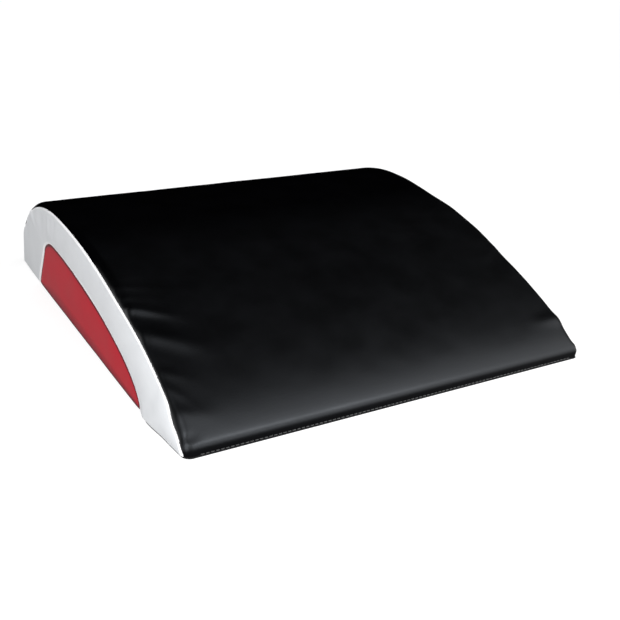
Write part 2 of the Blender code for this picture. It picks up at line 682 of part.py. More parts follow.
def main():
    for item in list(bpy.data.objects):
        bpy.data.objects.remove(item, do_unlink=True)
    make_foam()
    make_cover()
    make_base()
    for side, suffix in ((-1, "left"), (1, "right")):
        make_side(side, suffix)
        make_side_stitches(side, suffix)
    make_front_stitches()
    make_rear_strip()
    make_zip_tapes()
    make_zip_teeth()
    make_zip_stops()
    make_zip_slider()
    make_zip_pull()
    make_wall_stitches()


main()
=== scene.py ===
import math

import bmesh
import bpy
import numpy as np
from mathutils import Matrix, Vector, noise


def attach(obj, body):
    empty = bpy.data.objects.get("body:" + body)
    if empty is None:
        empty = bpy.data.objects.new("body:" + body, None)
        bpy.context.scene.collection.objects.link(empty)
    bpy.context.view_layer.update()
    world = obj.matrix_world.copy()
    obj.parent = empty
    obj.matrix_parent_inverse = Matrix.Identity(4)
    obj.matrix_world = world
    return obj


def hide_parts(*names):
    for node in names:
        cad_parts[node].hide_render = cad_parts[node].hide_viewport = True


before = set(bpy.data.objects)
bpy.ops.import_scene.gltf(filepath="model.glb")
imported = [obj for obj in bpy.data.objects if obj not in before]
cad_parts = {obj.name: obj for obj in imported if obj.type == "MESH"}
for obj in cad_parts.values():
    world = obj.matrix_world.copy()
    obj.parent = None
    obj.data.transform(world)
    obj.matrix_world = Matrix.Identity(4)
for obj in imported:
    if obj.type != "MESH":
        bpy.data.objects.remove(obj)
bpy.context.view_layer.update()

# Sizes of the mat, in metres, the same as in its solids
WIDTH = 0.3184
DEPTH = 0.370
CREST_HEIGHT = 0.0833
CREST_SETBACK = 0.243
BACK_TAPER = 0.0045
TAPER_START_SHARE = 0.135
TOP_LEAN = 0.0061
LEAN_FULL_SHARE = 0.16
LEAN_END_SHARE = 0.65
LEAN_FOOT_SHARE = 0.15
LOW_EDGE = 0.016
CORNER_DRAW = 0.0025
CORNER_RUN = 0.045
FRONT_RISE = 0.009
FRONT_ROLL = 0.005
FRONT_SLOPE = math.radians(49.7)
ROLL_UNDER = math.radians(20)
FACE_RECESS = 0.0008
FACE_BAND = 0.0015
FRONT_PULL_SHARE = 0.139
CREST_FRONT_SHARE = 0.408
CREST_BACK_SHARE = 0.497
WALL_PULL_SHARE = 0.139
WALL_LEAN = math.radians(15)
BACK_SHOULDER = 0.0028
FRONT_TURN = 0.0054
SKIN = 0.0012
BASE_THICKNESS = 0.0010
CLEARANCE = 0.0003
INSET_TIP_SHARE = 0.175
INSET_RISE_SHARES = (0.175, 0.348)
INSET_CREST_PULL_SHARES = (0.540, 0.585)
INSET_CREST_SHARES = (0.694, 0.585)
TOOTH_REACH = 0.0030
TAPE_WIDTH = 0.010
TAPE_THICKNESS = 0.0006
TAPE_TAIL = 0.008
TAPE_HEM = 0.0019
SLIDER_LIP = 0.0009
EDGE_ROOM = 0.0017
SLOT_MARGIN = 0.0297
STITCH_PITCH = 0.0032
STITCH_LENGTH = 0.0022
STITCH_WIDTH = 0.0006
FRONT_STITCH_MARGIN = 0.009
ZIP_STITCH_SETBACK = 0.0022
SIDE_STITCH_RUN = 0.125
SIDE_STITCH_START = 0.006

# Back corner and back edge of the inset, further back than in its solid
INSET_CORNER_SHARES = ((0.731, 0.585), (0.772, 0.505), (0.778, 0.410))
INSET_BACK_SHARE = 0.838

FLOOR_TOP = BASE_THICKNESS + CLEARANCE
LEAN_SIN = math.sin(WALL_LEAN)
LEAN_COS = math.cos(WALL_LEAN)
WALL_FOOT = (FLOOR_TOP + SKIN * LEAN_SIN) / LEAN_COS
ZIP_RISE = BASE_THICKNESS + TAPE_HEM + TAPE_WIDTH + CLEARANCE + TOOTH_REACH
WALL_RISE = ZIP_RISE + TOOTH_REACH + CLEARANCE + TAPE_WIDTH + 2 * CLEARANCE
SLOT_HALF_WIDTH = TOOTH_REACH + CLEARANCE + SLIDER_LIP + EDGE_ROOM
SLOT_HALF_LENGTH = WIDTH / 2 - SLOT_MARGIN
SLOT_TOP = ZIP_RISE + SLOT_HALF_WIDTH
TAPE_OUTER = -SKIN - CLEARANCE

# Rolled edges of the sewn sheets: how deep and how wide each one turns in
SEAM_DEPTH = 0.0004
COVER_ROLL = 0.0014
PANEL_ROLL = 0.0024
INSET_ROLL = 0.0006
FOOT_DEPTH = 0.0006
FOOT_ROLL = 0.0008
SIDE_FOOT_ROLL = 0.0010
INSET_FOOT_DEPTH = 0.0005
STRIP_DEPTH = 0.0008
STRIP_ROLL = 0.0014
HEM = 0.0003
RED_SUNK = 0.0005
EDGE_STEPS = (0.0, 0.05, 0.14, 0.28, 0.48, 0.72, 1.0)

# Fullness of the side fabrics
SIDE_SWELL = 0.0007
INSET_SWELL_RUN = 0.004

# Side seams as the photograph shows them, and the cover behind the side fabric at the back
SEAM_LOW = 0.0039
SEAM_HIGH = 0.0058
SEAM_BACK = 0.0018
SEAM_RISE_SHARES = (0.19, 0.30)
SEAM_FALL_SHARES = (0.67, 0.79)
BACK_TUCK = 0.0008
BACK_TUCK_SHARES = (0.66, 0.74)
BACK_DRAW = 0.0006
BACK_DRAW_RUN = (0.325, 0.368)

# Front end of the side seams, lower than in the solids: its foot, its length and its curve
TIP_SETBACK = 0.0027
TIP_RUN = 0.042
TIP_BLEND = 0.018
TIP_PULL = (0.0004, 0.0080)
TIP_DRAW = (-0.0074, -0.0095)

# Front corners: a rounder cover on the left, a sharper base and a small tab on the right, its
# foot turned in, and where these pulls fade out behind the front
LEFT_ROUND = 0.0021
RIGHT_TURN = 0.0025
TAB_OUT = 0.0010
TAB_FOOT_IN = 0.0020
TAB_SIDE = (0.140, 0.153)
TAB_TOP = (0.0125, 0.0085)
TAB_FOOT = (0.006, 0.002)
FRONT_FADE = (0.012, 0.002)

# Foot of the front face, drawn forward, and foot of the panel, bulging in front of the inset
FOOT_FORWARD = 0.0021
FORWARD_TOP = (0.0075, 0.0015)
FOOT_BULGE = 0.0018
BULGE_FRONT = (0.026, 0.050)
BULGE_REAR = (0.0640, 0.0570)
BULGE_TOP = (0.014, 0.0)

# Foot of the side fabrics over the floor, and how far the base lies behind them
HEM_FOOT = 0.0004
HEM_FRONT = 0.00065
HEM_CHANGE = (0.048, 0.056)
BASE_TUCK = 0.0009
BASE_FRONT_TUCK = 0.00015

# Soft wrinkles that start at a side seam, fainter on the right, with a slight valley on each
# side: (y from the front, length in from the seam, slant, height, half width)
WRINKLES = (
    (0.1205, 0.050, -0.30, 0.00060, 0.0030),
    (0.1098, 0.020, -0.28, 0.00040, 0.0024),
    (0.0985, 0.036, -0.45, 0.00210, 0.0034),
    (0.0760, 0.044, -0.52, 0.00200, 0.0054),
    (0.0472, 0.026, -0.55, 0.00055, 0.0034),
    (0.0390, 0.020, -1.10, 0.00045, 0.0030),
    (0.0180, 0.032, -0.27, 0.00060, 0.0042),
)
WRINKLE_SPREAD = 14
RIGHT_SHARE = 0.12
VALLEY_AT = 1.9
VALLEY_BEHIND = 0.15
VALLEY_BEFORE = 0.10

# Slow unevenness of the padded cover: (height, size, seed)
UNEVEN = ((0.00022, 0.045, 1), (0.00012, 0.016, 2))

# Dimple at the left front corner, by x and distance along the side view
DIMPLE_DEPTH = 0.0009
DIMPLE_AT = (-0.1515, 0.0115)
DIMPLE_HALF = (0.0038, 0.0034)

# Fuller right shoulder: a long swell half way up the crown, and a bump near the front
SWELL = 0.0014
SWELL_SIDE = (0.09, 0.15)
SWELL_FRONT = (0.080, 0.125)
SWELL_REAR = (0.185, 0.150)
BUMP = 0.0012
BUMP_SIDE = (0.12, 0.155)
BUMP_AT = 0.021
BUMP_HALF = 0.005

# Puckers of the front face between its stitches
PUCKER = 0.00008
PUCKER_AT = 0.0009
PUCKER_HALF = 0.0012

# Creases of the pale panels: (start, end) in (y, z), height and half width
CREASES = (
    ((0.336, 0.074), (0.310, 0.050), 0.0014, 0.0030),
    ((0.352, 0.062), (0.345, 0.024), -0.0009, 0.0045),
    ((0.300, 0.078), (0.300, 0.050), 0.0006, 0.0030),
    ((0.285, 0.080), (0.288, 0.052), -0.0005, 0.0030),
    ((0.262, 0.080), (0.268, 0.052), 0.0006, 0.0030),
    ((0.246, 0.080), (0.252, 0.052), -0.0004, 0.0030),
    ((0.205, 0.076), (0.215, 0.050), 0.0002, 0.0040),
    ((0.040, 0.028), (0.052, 0.004), -0.0004, 0.0050),
)

# Threads: their sides, their flatness and how they lie on or in the cloth
THREAD_SIDES = 8
THREAD_FLATNESS = 0.62
STITCH_LIFT = 0.0001
SIDE_STITCH_SUNK = 0.0005

# Spacing of the side view's points, and the grain of the foam block
OUTLINE_STEP = 0.00025
FOAM_VOXEL = 0.005
FOAM_INSET = 0.0005
FOAM_UNEVEN = 0.0002


def smooth(low, high, value):
    """Soft step from 0 at low to 1 at high."""
    t = np.clip((value - low) / (high - low), 0.0, 1.0)
    return t * t * (3 - 2 * t)


def spaced(start, end, step):
    """Even values from start up to end, end left out."""
    count = max(1, int(round((end - start) / step)))
    return list(np.linspace(start, end, count, endpoint=False))


def curve(start, start_pull, end_pull, end, steps):
    """Points of a cubic curve, its last point left out."""
    t = np.linspace(0.0, 1.0, steps, endpoint=False)[:, None]
    a, b, c, d = (np.array(p) for p in (start, start_pull, end_pull, end))
    return (1 - t) ** 3 * a + 3 * t * (1 - t) ** 2 * b + 3 * t * t * (1 - t) * c + t ** 3 * d


def wall_station(rise):
    return np.array((DEPTH - rise * LEAN_SIN, rise * LEAN_COS))


def lengths(points):
    """Distance along an outline at each of its points."""
    steps = np.linalg.norm(np.diff(points, axis=0), axis=1)
    return np.concatenate([[0.0], np.cumsum(steps)])


def sample(points, along, at):
    """Points of an outline at distances along it."""
    return np.stack([np.interp(at, along, points[:, k]) for k in (0, 1)], -1)


def side_view():
    """Outer face of the cover from the front foot over the crest to the back foot."""
    centre = FRONT_RISE - FRONT_ROLL * math.cos(FRONT_SLOPE)
    angles = np.linspace(math.pi + ROLL_UNDER, math.pi / 2 + FRONT_SLOPE, 60)
    roll = np.stack([FRONT_ROLL + FRONT_ROLL * np.cos(angles),
                     centre + FRONT_ROLL * np.sin(angles)], 1)
    face = np.array([(FACE_RECESS, FLOOR_TOP + FACE_BAND * t) for t in np.linspace(0.0, 1.0, 8)])
    start = roll[-1]
    crest = np.array((CREST_SETBACK, CREST_HEIGHT))
    pull = FRONT_PULL_SHARE * CREST_SETBACK
    rise = start + pull * np.array((math.cos(FRONT_SLOPE), math.sin(FRONT_SLOPE)))
    over = crest - np.array((CREST_FRONT_SHARE * CREST_SETBACK, 0.0))
    crown = curve(start, rise, over, crest, 500)
    top = wall_station(WALL_RISE)
    pull = WALL_PULL_SHARE * CREST_HEIGHT
    behind = crest + np.array((CREST_BACK_SHARE * (DEPTH - CREST_SETBACK), 0.0))
    back = curve(crest, behind, top + pull * np.array((-LEAN_SIN, LEAN_COS)), top, 300)
    wall = np.array([wall_station(r) for r in np.linspace(WALL_RISE, WALL_FOOT, 60)])
    points = np.concatenate([face, roll[:-1], crown, back, wall])
    along = lengths(points)
    even = np.linspace(0.0, along[-1], int(along[-1] / OUTLINE_STEP))
    points = sample(points, along, even)
    soft = points.copy()
    for _ in range(10):
        soft[1:-1] = 0.5 * soft[1:-1] + 0.25 * (soft[:-2] + soft[2:])
    blend = smooth(0.012, 0.008, even)[:, None] * smooth(0.0, 0.0012, even)[:, None]
    return points + (soft - points) * blend


LINE = side_view()
ALONG = lengths(LINE)
TOTAL = ALONG[-1]
SLOPES = np.gradient(LINE, axis=0)
SLOPES /= np.linalg.norm(SLOPES, axis=1)[:, None]
CROWN = LINE[(LINE[:, 1] >= FRONT_RISE) & (LINE[:, 0] <= CREST_SETBACK)]


def station(s):
    """Point and outward normal of the side view at distances s along it."""
    point, run = sample(LINE, ALONG, s), sample(SLOPES, ALONG, s)
    run /= np.linalg.norm(run, axis=-1, keepdims=True)
    return point, np.stack([-run[..., 1], run[..., 0]], -1)


def ramp(value, first, last):
    """Share of the way from first to last, with softened ends."""
    shifts = (-0.05, -0.025, 0.0, 0.025, 0.05)
    shares = [np.clip((value + shift - first) / (last - first), 0.0, 1.0) for shift in shifts]
    return np.mean(shares, axis=0)


def half_width(y, z):
    """Half width of the sides, with their taper, lean and draw."""
    taper = BACK_TAPER * ramp(y / DEPTH, TAPER_START_SHARE, 1.0)
    lean = TOP_LEAN * (1 - ramp(y / DEPTH, LEAN_FULL_SHARE, LEAN_END_SHARE))
    top = np.maximum(np.interp(y, CROWN[:, 0], CROWN[:, 1]), LOW_EDGE)
    rise = np.maximum(0.0, (z / top - LEAN_FOOT_SHARE) / (1 - LEAN_FOOT_SHARE))
    draw = CORNER_DRAW * np.maximum(0.0, 1 - y / CORNER_RUN) ** 2
    return WIDTH / 2 - taper - lean * rise ** 2 - draw


def rounded(radius, distance):
    """How far a rounded corner is drawn in, at a distance from its end."""
    left = np.maximum(0, radius - distance)
    return radius - np.sqrt(np.maximum(0, radius ** 2 - left ** 2))


def foot_bulge(y, z):
    """How far the foot of the side fabric stands out in front of the inset's tip."""
    return FOOT_BULGE * smooth(*BULGE_REAR, y) * smooth(*BULGE_FRONT, y) * smooth(*BULGE_TOP, z)


def face_width(y, z):
    """Half width of the side fabric, rounded at the front corner and drawn in at the back."""
    return (half_width(y, z) - rounded(FRONT_TURN, y - FACE_RECESS)
            - BACK_DRAW * smooth(*BACK_DRAW_RUN, y) + foot_bulge(y, z))


def inward(s, distance):
    """Side-view points moved in from the outer face, kept above the base."""
    point, normal = station(s)
    moved = point - normal * np.asarray(distance)[..., None]
    moved[..., 1] = np.maximum(moved[..., 1], FLOOR_TOP)
    return moved


def seam_radius(s):
    """How far in from the outer face the side seam lies."""
    share = s / TOTAL
    radius = SEAM_LOW + (SEAM_HIGH - SEAM_LOW) * ramp(share, *SEAM_RISE_SHARES)
    return radius - (SEAM_HIGH - SEAM_BACK) * ramp(share, *SEAM_FALL_SHARES)


def seam(s):
    """Side seam at distances s: up from the front corner, then in from the outer face."""
    line = inward(s, seam_radius(s))
    run = np.array([TIP_RUN])
    top = inward(run, seam_radius(run))[0]
    foot = np.array((FACE_RECESS + TIP_SETBACK, FLOOR_TOP))
    t = np.clip(s / TIP_RUN, 0.0, 1.0)[:, None]
    tip = ((1 - t) ** 3 * foot + 3 * t * (1 - t) ** 2 * (foot + TIP_PULL)
           + 3 * t * t * (1 - t) * (top + TIP_DRAW) + t ** 3 * top)
    return line + (tip - line) * smooth(TIP_RUN, TIP_RUN - TIP_BLEND, s)[:, None]


def past_seam(s, distance):
    """Side-view points at a distance past the seam, and the cover's turn radius there."""
    outer, line = station(s)[0], seam(s)
    radius = np.linalg.norm(outer - line, axis=1)
    moved = line + (line - outer) / radius[:, None] * distance
    moved[:, 1] = np.maximum(moved[:, 1], FLOOR_TOP)
    return moved, radius


def rolled(distance, depth, width):
    """How far a sheet lies below its face near a rolled edge."""
    left = np.clip(1 - distance / width, 0.0, 1.0)
    return depth * (1 - np.sqrt(np.maximum(0.0, 1 - left ** 2)))


def forward(points):
    """Foot of the front face drawn forward over the floor."""
    y, z = points[..., 1] + DEPTH / 2, points[..., 2]
    moved = points.copy()
    moved[..., 1] -= FOOT_FORWARD * smooth(*FORWARD_TOP, z) * smooth(*FRONT_FADE, y)
    return moved


def settle(points):
    """Foot drawn forward and tab of the right corner, the same for each piece there."""
    x, y, z = points[..., 0], points[..., 1] + DEPTH / 2, points[..., 2]
    moved = forward(points)
    tab = smooth(*FRONT_FADE, y) * smooth(*TAB_TOP, z) * smooth(*TAB_SIDE, x)
    moved[..., 0] += (TAB_OUT - TAB_FOOT_IN * smooth(*TAB_FOOT, z)) * tab
    return moved


def ripple(points, size, seed):
    """Slow unevenness of a surface, from -1 to 1."""
    flat = points.reshape(-1, 3)
    offset = Vector((seed * 3.1, seed * 7.7, seed * 1.3))
    values = [noise.noise(Vector(p) / size + offset) for p in flat]
    return np.array(values).reshape(points.shape[:-1])


def add_object(name, data):
    piece = bpy.data.objects.new(name, data)
    bpy.context.scene.collection.objects.link(piece)
    return piece


def add_mesh(name, vertices, faces, material, angle=None):
    mesh = bpy.data.meshes.new(name)
    mesh.from_pydata(vertices.tolist(), [], faces)
    mesh.materials.append(material)
    mesh.shade_smooth()
    if angle is not None:
        mesh.set_sharp_from_angle(angle=math.radians(angle))
    return add_object(name, mesh)


def edit(mesh, change):
    """Change a mesh by a function of its bmesh."""
    bm = bmesh.new()
    bm.from_mesh(mesh)
    change(bm)
    bm.to_mesh(mesh)
    bm.free()


def quads(index):
    """Corners of each cell of a grid of point numbers."""
    return np.stack([index[:-1, :-1], index[:-1, 1:], index[1:, 1:], index[1:, :-1]], -1)


def add_sheet(name, points, normals, material, keep=None, hem=HEM, marks=None):
    """Sheet from a grid of points, open edges turned in by a hem; marks are kept as 'edge'."""
    rows, columns = points.shape[:2]
    cells = quads(np.arange(rows * columns).reshape(rows, columns))
    cells = cells.reshape(-1, 4) if keep is None else cells[keep]
    flat, out = points.reshape(-1, 3), normals.reshape(-1, 3)
    corners = flat[cells]
    facing = np.cross(corners[:, 2] - corners[:, 0], corners[:, 3] - corners[:, 1])
    if (facing * out[cells[:, 0]]).sum() < 0:
        cells = cells[:, ::-1]
    starts, ends = cells.reshape(-1), np.roll(cells, -1, axis=1).reshape(-1)
    size = rows * columns
    single = np.isin(starts * size + ends, ends * size + starts, invert=True)
    rim = np.unique(starts[single])
    turned = np.full(size, -1)
    turned[rim] = size + np.arange(len(rim))
    flat = np.concatenate([flat, flat[rim] - out[rim] * hem])
    a, b = starts[single], ends[single]
    faces = np.concatenate([cells, np.stack([b, a, turned[a], turned[b]], -1)])
    used, faces = np.unique(faces, return_inverse=True)
    piece = add_mesh(name, flat[used], faces.reshape(-1, 4).tolist(), material)
    if marks is not None:
        values = np.concatenate([marks.reshape(-1), marks.reshape(-1)[rim]])[used]
        layer = piece.data.attributes.new("edge", "FLOAT", "POINT")
        layer.data.foreach_set("value", values.astype(np.float32))
    edit(piece.data, lambda bm: bmesh.ops.remove_doubles(bm, verts=bm.verts, dist=0.000004))
    return piece


def dress(piece, slot, *nodes, body="mat", fill=None):
    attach(piece, body)
    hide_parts(*nodes)


# ---- Materials

def feed(node, values):
    """Feed the inputs of a node, each by a value or by another node's output."""
    for key, value in values.items():
        if isinstance(value, bpy.types.NodeSocket):
            node.id_data.links.new(value, node.inputs[key])
        else:
            node.inputs[key].default_value = value


def new_material(name, color, roughness, metallic=0.0, specular=0.5, sheen=0.0):
    material = bpy.data.materials.new(name)
    material.use_nodes = True
    shader = material.node_tree.nodes["Principled BSDF"]
    feed(shader, {"Base Color": (*color, 1.0), "Roughness": roughness, "Metallic": metallic,
                  "Specular IOR Level": specular, "Sheen Weight": sheen})
    material.diffuse_color = (*color, 1.0)
    return material, material.node_tree, shader


def add_node(tree, kind, values=None, **settings):
    node = tree.nodes.new(kind)
    for key, value in settings.items():
        setattr(node, key, value)
    feed(node, values or {})
    return node


def texture(tree, kind, scale, values=None, stretch=(1, 1, 1), **settings):
    """Texture node on the object's own coordinates."""
    place = add_node(tree, "ShaderNodeTexCoord").outputs["Object"]
    mapping = add_node(tree, "ShaderNodeMapping", {"Vector": place, "Scale": stretch})
    ends = {"Vector": mapping.outputs["Vector"], "Scale": scale}
    return add_node(tree, kind, {**ends, **(values or {})}, **settings)


def add_bump(tree, shader, height, distance, strength=1.0, under=None):
    """Bump of the shader's normal, on top of the normal under, if any."""
    values = {"Height": height, "Distance": distance, "Strength": strength}
    if under is not None:
        values["Normal"] = under
    normal = add_node(tree, "ShaderNodeBump", values).outputs["Normal"]
    feed(shader, {"Normal": normal})
    return normal


def map_range(tree, value, low, high, to_low, to_high, **settings):
    ends = {"From Min": low, "From Max": high, "To Min": to_low, "To Max": to_high}
    node = add_node(tree, "ShaderNodeMapRange", {"Value": value, **ends}, **settings)
    return node.outputs["Result"]


def mix_tones(tree, factor, first, second):
    """Mix of two tones, each a colour or a node's output."""
    first, second = ((*tone, 1.0) if isinstance(tone, tuple) else tone for tone in (first, second))
    values = {"Factor": factor, "A": first, "B": second}
    return add_node(tree, "ShaderNodeMix", values, data_type="RGBA").outputs["Result"]


def mix_shaders(tree, factor, first, second):
    return add_node(tree, "ShaderNodeMixShader", {0: factor, 1: first, 2: second}).outputs[0]


def combine(tree, operation, first, second):
    """Result of a math node on two outputs."""
    return add_node(tree, "ShaderNodeMath", {0: first, 1: second}, operation=operation).outputs[0]


def leather(name, dark, light, roughness, grain, specular, edge=None, dull_edge=False,
            tint=(1.0, 1.0, 1.0)):
    """Coated fabric with a pebbled grain; marked places lose their gloss with dull_edge, and take
    the edge colour, which is painted light, when one is given.
    """
    material, tree, shader = new_material(name, light, roughness, specular=specular)
    feed(shader, {"Specular Tint": (*tint, 1.0)})
    pebbles = texture(tree, "ShaderNodeTexVoronoi", 950, {"Smoothness": 0.6}, feature="SMOOTH_F1")
    fine = texture(tree, "ShaderNodeTexNoise", 2600, {"Detail": 3})
    slow = texture(tree, "ShaderNodeTexNoise", 45, {"Detail": 4}).outputs["Fac"]
    spread = map_range(tree, slow, 0.35, 0.65, 0.0, 1.0)
    tone = mix_tones(tree, spread, dark, light)
    mark = add_node(tree, "ShaderNodeAttribute", attribute_name="edge").outputs["Fac"]
    if dull_edge:
        feed(shader, {"Specular IOR Level": map_range(tree, mark, 0.0, 1.0, specular, 0.0)})
    # Painted light: the edge colour at the marks is a painted highlight on the pale fabric and
    # painted shade on the red.
    if edge is not None:
        tone = mix_tones(tree, mark, tone, edge)
    rough = map_range(tree, slow, 0.3, 0.7, roughness - 0.03, roughness + 0.03)
    feed(shader, {"Base Color": tone, "Roughness": rough})
    coarse = add_bump(tree, shader, pebbles.outputs["Distance"], grain, 0.7)
    add_bump(tree, shader, fine.outputs["Fac"], grain * 0.5, 0.5, coarse)
    return material


def thread_material(name, color):
    material, tree, shader = new_material(name, color, 0.55, sheen=0.2)
    twist = texture(tree, "ShaderNodeTexWave", 900, stretch=(1, 0.6, 0.6), wave_type="BANDS",
                    bands_direction="DIAGONAL")
    add_bump(tree, shader, twist.outputs["Fac"], 0.00006, 0.8)
    return material


def tape_material(name, color):
    """Woven tape with slanting and cross ribs."""
    material, tree, shader = new_material(name, color, 0.85, sheen=0.15)
    slanting = texture(tree, "ShaderNodeTexWave", 500, wave_type="BANDS",
                       bands_direction="DIAGONAL")
    across = texture(tree, "ShaderNodeTexWave", 900, wave_type="BANDS", bands_direction="Z")
    rib = add_bump(tree, shader, slanting.outputs["Fac"], 0.00010, 0.8)
    add_bump(tree, shader, across.outputs["Fac"], 0.00005, 0.6, rib)
    return material


def base_material():
    """Non-slip backing cloth with small raised dots."""
    material, tree, shader = new_material("base_cloth", (0.005, 0.005, 0.0055), 0.75,
                                          specular=0.15)
    dots = texture(tree, "ShaderNodeTexVoronoi", 330, {"Randomness": 0.0}, feature="F1")
    raised = map_range(tree, dots.outputs["Distance"], 0.22, 0.36, 1.0, 0.0)
    weave = texture(tree, "ShaderNodeTexNoise", 1800)
    first = add_bump(tree, shader, raised, 0.00025, 1.0)
    add_bump(tree, shader, weave.outputs["Fac"], 0.00006, 0.6, first)
    feed(shader, {"Roughness": map_range(tree, raised, 0.0, 1.0, 0.82, 0.50)})
    return material


def foam_material():
    """Open-pored foam, darker in its pores: painted shade."""
    material, tree, shader = new_material("foam_block", (0.62, 0.60, 0.54), 0.95)
    pores = texture(tree, "ShaderNodeTexVoronoi", 1100, feature="F1").outputs["Distance"]
    add_bump(tree, shader, pores, 0.0003, 0.9)
    # Painted shade: the pores take the darker tone.
    feed(shader, {"Base Color": mix_tones(tree, pores, (0.40, 0.38, 0.33), (0.66, 0.64, 0.58))})
    return material


def metal_material(name, color, roughness):
    """Black lacquered metal with faint wear."""
    material, tree, shader = new_material(name, color, roughness, metallic=0.85)
    wear = texture(tree, "ShaderNodeTexNoise", 700, {"Detail": 5}).outputs["Fac"]
    worn = map_range(tree, wear, 0.3, 0.7, roughness - 0.06, roughness + 0.10)
    feed(shader, {"Roughness": worn})
    add_bump(tree, shader, wear, 0.00003, 0.4)
    return material


BLACK = leather("black_coated_fabric", (0.0005, 0.0005, 0.0006), (0.0007, 0.0007, 0.0009), 0.38,
                grain=0.00004, specular=0.25, dull_edge=True, tint=(0.86, 0.92, 1.0))
# The pale fabric's edge colour is a painted highlight along its seams.
WHITE = leather("pale_coated_fabric", (0.63, 0.645, 0.665), (0.665, 0.68, 0.70), 0.55,
                grain=0.00006, specular=0.25, edge=(0.93, 0.93, 0.94))
# The red fabric's edge colour is painted shade along its rim and foot.
RED = leather("red_coated_fabric", (0.38, 0.011, 0.021), (0.42, 0.013, 0.025), 0.60,
              grain=0.00006, specular=0.10, edge=(0.09, 0.004, 0.011))
GREY_THREAD = thread_material("grey_thread", (0.018, 0.019, 0.020))
DARK_THREAD = thread_material("black_thread", (0.012, 0.012, 0.014))
TAPE = tape_material("zip_tape", (0.016, 0.016, 0.018))
METAL = metal_material("zip_metal", (0.045, 0.045, 0.050), 0.32)
TEETH = metal_material("zip_teeth", (0.020, 0.020, 0.022), 0.42)


# ---- Cover

def row_stops():
    """Distances along the side view of the cover's rows, close where it turns or is sewn."""
    slot = TOTAL - (SLOT_TOP - WALL_FOOT)
    stops = spaced(0.0, 0.0018, 0.0003) + spaced(0.0018, 0.016, 0.0006)
    stops += spaced(0.016, 0.15, 0.0013) + spaced(0.15, slot - 0.003, 0.0020)
    stops += spaced(slot - 0.003, slot, 0.0004) + spaced(slot, TOTAL - 0.001, 0.0018)
    stops += spaced(TOTAL - 0.001, TOTAL, 0.00025) + [TOTAL]
    return np.array(stops), stops.index(slot)


def cover_columns(radius, flats):
    """Turns on a shoulder and x of the columns between the shoulders, one row per station."""
    first = COVER_ROLL * np.array(EDGE_STEPS)
    turn_count, flat_count = 9, 9
    turns = []
    for r in radius:
        low = first / r
        turns.append(np.concatenate([low, np.linspace(low[-1], math.pi / 2, turn_count)[1:]]))
    edge = SLOT_HALF_LENGTH
    near = [0.0003, 0.0007, 0.0012, 0.0018, 0.0028]
    outside = np.array(near[::-1])
    inside = np.array(spaced(-edge, edge, 0.0020) + [edge])
    middles = []
    for pair in zip(*flats):
        left, right = (np.linspace(flat, edge + near[-1], flat_count, endpoint=False)[1:]
                       for flat in pair)
        middles.append(np.concatenate([-left, -edge - outside, inside,
                                       edge + outside[::-1], right[::-1]]))
    return np.array(turns), np.array(middles), len(inside)


def cover_grid(stops):
    """Points, normals and seam distances of the plain cover, turn radii and the slot's columns."""
    point, normal = station(stops)
    seam_at, radius = past_seam(stops, 0.0)
    tuck = BACK_TUCK * smooth(*BACK_TUCK_SHARES, stops / TOTAL)
    reach = face_width(seam_at[:, 0], seam_at[:, 1]) - tuck
    wides = (radius + LEFT_ROUND * smooth(*FRONT_FADE, stops), radius)
    turns, middles, slot_width = cover_columns(radius, [reach - wide for wide in wides])
    columns = middles.shape[1]
    bands = []
    away_from = (point - seam_at) / radius[:, None]
    for side, across in zip((-1, 1), wides):
        moved = seam_at[:, None] + (point - seam_at)[:, None] * np.sin(turns)[..., None]
        x = side * (reach[:, None] - across[:, None] + across[:, None] * np.cos(turns))
        shoulder = np.stack([x, moved[..., 0] - DEPTH / 2, moved[..., 1]], -1)
        out = np.stack([side * np.cos(turns), away_from[:, None, 0] * np.sin(turns),
                        away_from[:, None, 1] * np.sin(turns)], -1)
        bands.append([grid[:, ::-side] for grid in (shoulder, out, radius[:, None] * turns)])
    y, z, out_y, out_z = (np.repeat(column[:, None], columns, 1)
                          for column in (*point.T, *normal.T))
    middle = np.stack([middles, y - DEPTH / 2, z], -1)
    out = np.stack([np.zeros_like(y), out_y, out_z], -1)
    bands.insert(1, [middle, out, np.full(middles.shape, 1.0)])
    points, normals, away = (np.concatenate(grids, 1) for grids in zip(*bands))
    first = turns.shape[1] + (columns - slot_width) // 2
    return points, normals, away, radius, slice(first, first + slot_width - 1)


def cover_depth(x, s, away):
    """How far the cover's edges turn in at the seams, the zip's slot and the floor."""
    up = TOTAL - s + WALL_FOOT
    beside = np.maximum(np.abs(x) - SLOT_HALF_LENGTH, 0.0)
    to_slot = np.hypot(beside, np.maximum(up - SLOT_TOP, 0.0))
    return np.maximum(rolled(np.minimum(away, to_slot), SEAM_DEPTH, COVER_ROLL),
                      rolled(np.minimum(s, TOTAL - s), FOOT_DEPTH, FOOT_ROLL))


